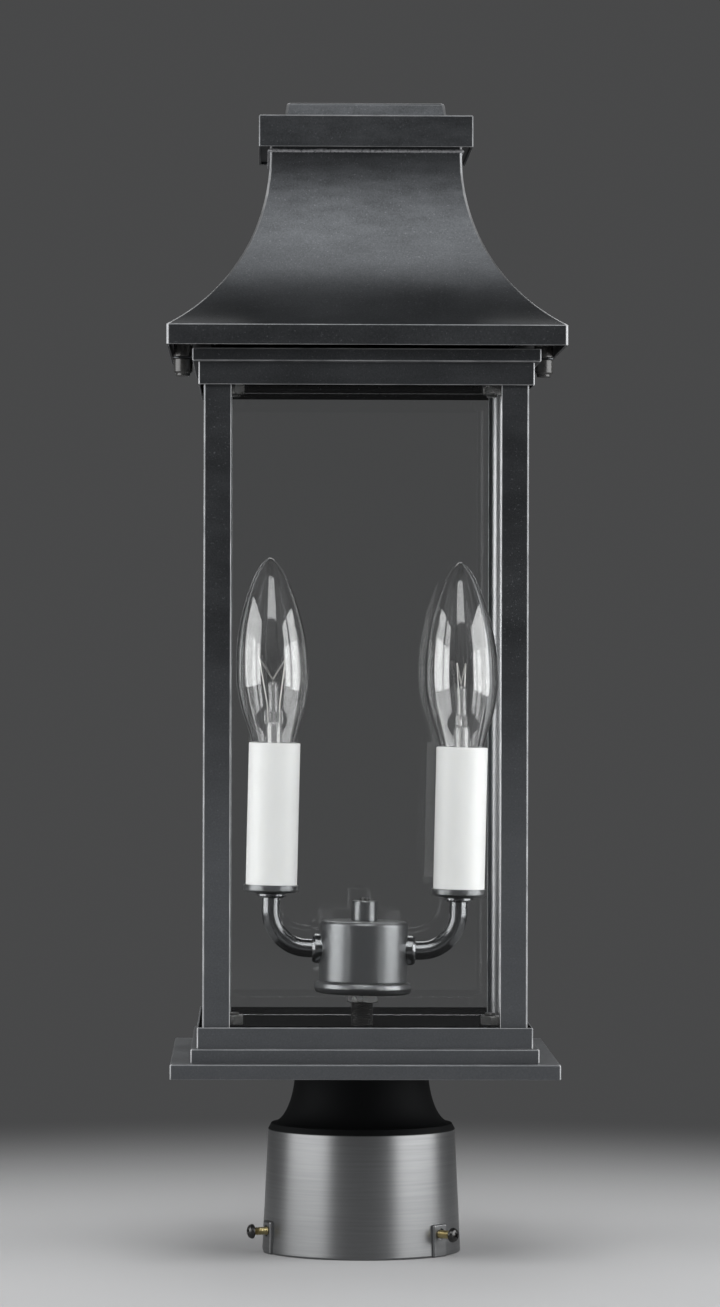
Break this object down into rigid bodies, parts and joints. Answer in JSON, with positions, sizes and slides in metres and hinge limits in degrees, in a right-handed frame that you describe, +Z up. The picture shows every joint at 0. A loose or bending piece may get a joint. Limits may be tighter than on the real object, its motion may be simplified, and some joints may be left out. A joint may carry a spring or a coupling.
{
  "type": "post top lantern",
  "caption": "Square post top lantern with clear panes, flared roof and capped neck, candle lamps on arms, and a cast fitter that clamps on a round post.",
  "frame": {"origin": "centre of the post fitter's bottom rim, on the surface the lantern stands on", "axes": "+Z up along the post, -Y towards the viewer of the picture (front), +X to the right"},
  "size_m": [0.1666, 0.1666, 0.489],
  "materials": {
    "powder_black": "satin black powder coat, fine grain",
    "cast_black": "satin black paint on a casting",
    "hardware_black": "black oxide, satin",
    "plain_steel": "zinc plated",
    "yellow_zinc": "yellow zinc plate, black head",
    "clear_glass": "clear float glass",
    "bulb_glass": "clear blown glass",
    "candle_white": "white, satin",
    "brass": "drawn brass",
    "socket_plastic": "dark phenolic moulding",
    "lead_insulation": "silicone insulation",
    "connector_plastic": "moulded plastic"
  },
  "bodies": {
    "lantern": {"post_fitter": "cast_black", "base_plate": "powder_black", "base_step": "powder_black", "base_tray": "powder_black", "top_tray": "powder_black", "upper_frame": "powder_black", "tray_bolts": "hardware_black", "tray_bolt_nuts": "hardware_black", "tie_rods": "plain_steel", "tie_rod_nuts": "plain_steel", "post_front_left": "powder_black", "post_front_right": "powder_black", "post_rear_left": "powder_black", "post_rear_right": "powder_black", "glass_front": "clear_glass", "glass_rear": "clear_glass", "glass_left": "clear_glass", "glass_right": "clear_glass", "stem_nipple": "hardware_black", "nipple_nuts": "hardware_black", "hub_cover": "cast_black", "hub_body": "cast_black", "hub_finial": "cast_black", "finial_screw": "hardware_black", "arm_left": "cast_black", "arm_right": "cast_black", "arm_collars": "cast_black", "arm_inner_nuts": "plain_steel", "arm_lock_rings": "cast_black", "cup_left": "cast_black", "cup_right": "cast_black", "candle_sleeve_left": "candle_white", "candle_sleeve_right": "candle_white", "socket_feet": "plain_steel", "socket_bodies": "socket_plastic", "socket_shells": "brass", "socket_contacts": "brass", "lead_wires": "lead_insulation", "wire_connectors": "connector_plastic"},
    "roof": {"roof_shell": "powder_black", "roof_ring": "powder_black", "roof_studs": "hardware_black", "neck_bead": "powder_black", "cap_floor": "powder_black", "chimney_cap": "powder_black", "cap_block": "powder_black"},
    "thumb_nut_left": {"thumb_nut_left": "hardware_black"},
    "thumb_nut_right": {"thumb_nut_right": "hardware_black"},
    "bulb_left": {"bulb_base_left": "brass", "bulb_glass_left": "bulb_glass", "bulb_mount_left": "bulb_glass"},
    "bulb_right": {"bulb_base_right": "brass", "bulb_glass_right": "bulb_glass", "bulb_mount_right": "bulb_glass"},
    "set_screw_front_left": {"set_screw_front_left": "yellow_zinc"},
    "set_screw_front_right": {"set_screw_front_right": "yellow_zinc"},
    "set_screw_rear": {"set_screw_rear": "yellow_zinc"}
  },
  "joints": [
    {"name": "roof_lift", "type": "slide", "parent": "lantern", "child": "roof", "axis": [0, 0, 1], "range_m": [0, 0.15]},
    {"name": "thumb_nut_left_off", "type": "slide", "parent": "lantern", "child": "thumb_nut_left", "axis": [0, 0, -1], "range_m": [0, 0.008]},
    {"name": "thumb_nut_right_off", "type": "slide", "parent": "lantern", "child": "thumb_nut_right", "axis": [0, 0, -1], "range_m": [0, 0.008]},
    {"name": "bulb_left_out", "type": "slide", "parent": "lantern", "child": "bulb_left", "axis": [0.0209, 0, 0.9998], "range_m": [0, 0.03]},
    {"name": "bulb_right_out", "type": "slide", "parent": "lantern", "child": "bulb_right", "axis": [0.0209, 0, 0.9998], "range_m": [0, 0.03]},
    {"name": "set_screw_front_left_travel", "type": "slide", "parent": "lantern", "child": "set_screw_front_left", "axis": [-0.9397, -0.342, 0], "range_m": [-0.0055, 0.004]},
    {"name": "set_screw_front_right_travel", "type": "slide", "parent": "lantern", "child": "set_screw_front_right", "axis": [0.766, -0.6428, 0], "range_m": [-0.0055, 0.004]},
    {"name": "set_screw_rear_travel", "type": "slide", "parent": "lantern", "child": "set_screw_rear", "axis": [0.1736, 0.9848, 0], "range_m": [-0.0055, 0.004]}
  ]
}
